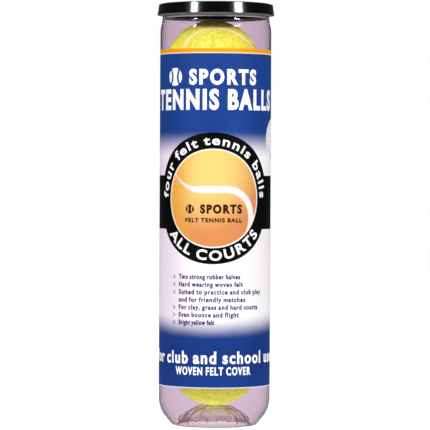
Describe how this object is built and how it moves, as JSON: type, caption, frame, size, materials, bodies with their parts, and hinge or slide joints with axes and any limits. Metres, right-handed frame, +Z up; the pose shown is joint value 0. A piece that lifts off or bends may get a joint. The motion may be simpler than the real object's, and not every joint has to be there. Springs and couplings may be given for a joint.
{
  "type": "tennis ball can",
  "caption": "Clear plastic tennis ball can with a printed label, a metal tear-off end with a pull tab, a press-on black overcap and a column of felt balls inside.",
  "frame": {"origin": "centre of the foot ring that the can stands on", "axes": "+Z up the can's axis, -Y towards the front of the label, +X to the right seen from the front"},
  "size_m": [0.08, 0.08, 0.288],
  "materials": {
    "clear_plastic": "gloss",
    "can_metal": "satin",
    "sealing_compound": "matte",
    "label_film": "satin",
    "black_plastic": "gloss",
    "ball_felt": "matte",
    "seam_rubber": "matte",
    "core_rubber": "matte"
  },
  "bodies": {
    "can": {"can_body": "clear_plastic", "end_ring": "can_metal", "seam_compound": "sealing_compound", "label": "label_film"},
    "lid": {"overcap": "black_plastic"},
    "tear_panel": {"tear_panel": "can_metal", "tab_web": "can_metal"},
    "pull_tab": {"pull_tab": "can_metal"},
    "ball_1": {"ball_1_core_upper": "core_rubber", "ball_1_core_lower": "core_rubber", "ball_1_felt_a": "ball_felt", "ball_1_felt_b": "ball_felt", "ball_1_seam": "seam_rubber"},
    "ball_2": {"ball_2_core_upper": "core_rubber", "ball_2_core_lower": "core_rubber", "ball_2_felt_a": "ball_felt", "ball_2_felt_b": "ball_felt", "ball_2_seam": "seam_rubber"},
    "ball_3": {"ball_3_core_upper": "core_rubber", "ball_3_core_lower": "core_rubber", "ball_3_felt_a": "ball_felt", "ball_3_felt_b": "ball_felt", "ball_3_seam": "seam_rubber"},
    "ball_4": {"ball_4_core_upper": "core_rubber", "ball_4_core_lower": "core_rubber", "ball_4_felt_a": "ball_felt", "ball_4_felt_b": "ball_felt", "ball_4_seam": "seam_rubber"}
  },
  "joints": [
    {"name": "lid_lift", "type": "slide", "parent": "can", "child": "lid", "axis": [0, 0, 1], "range_m": [0, 0.38]},
    {"name": "panel_lift", "type": "slide", "parent": "can", "child": "tear_panel", "axis": [0, 0, 1], "range_m": [0, 0.33]},
    {"name": "tab_lift", "type": "hinge", "parent": "tear_panel", "child": "pull_tab", "pos_m": [0, -0.033, 0.2802], "axis": [1, 0, 0], "range_deg": [0, 75]},
    {"name": "ball_1_lift", "type": "slide", "parent": "can", "child": "ball_1", "axis": [0, 0, 1], "range_m": [0, 0.29]},
    {"name": "ball_2_lift", "type": "slide", "parent": "can", "child": "ball_2", "axis": [0, 0, 1], "range_m": [0, 0.29]},
    {"name": "ball_3_lift", "type": "slide", "parent": "can", "child": "ball_3", "axis": [0, 0, 1], "range_m": [0, 0.29]},
    {"name": "ball_4_lift", "type": "slide", "parent": "can", "child": "ball_4", "axis": [0.033, 0, 0.9995], "range_m": [0, 0.29]}
  ],
  "couplings": [
    {"joint": "panel_lift", "follows": "lid_lift", "ratio": 0.868},
    {"joint": "tab_lift", "follows": "lid_lift", "rad_per_m": 3.444},
    {"joint": "ball_1_lift", "follows": "lid_lift", "ratio": 0.763},
    {"joint": "ball_2_lift", "follows": "lid_lift", "ratio": 0.763},
    {"joint": "ball_3_lift", "follows": "lid_lift", "ratio": 0.763},
    {"joint": "ball_4_lift", "follows": "lid_lift", "ratio": 0.763}
  ]
}
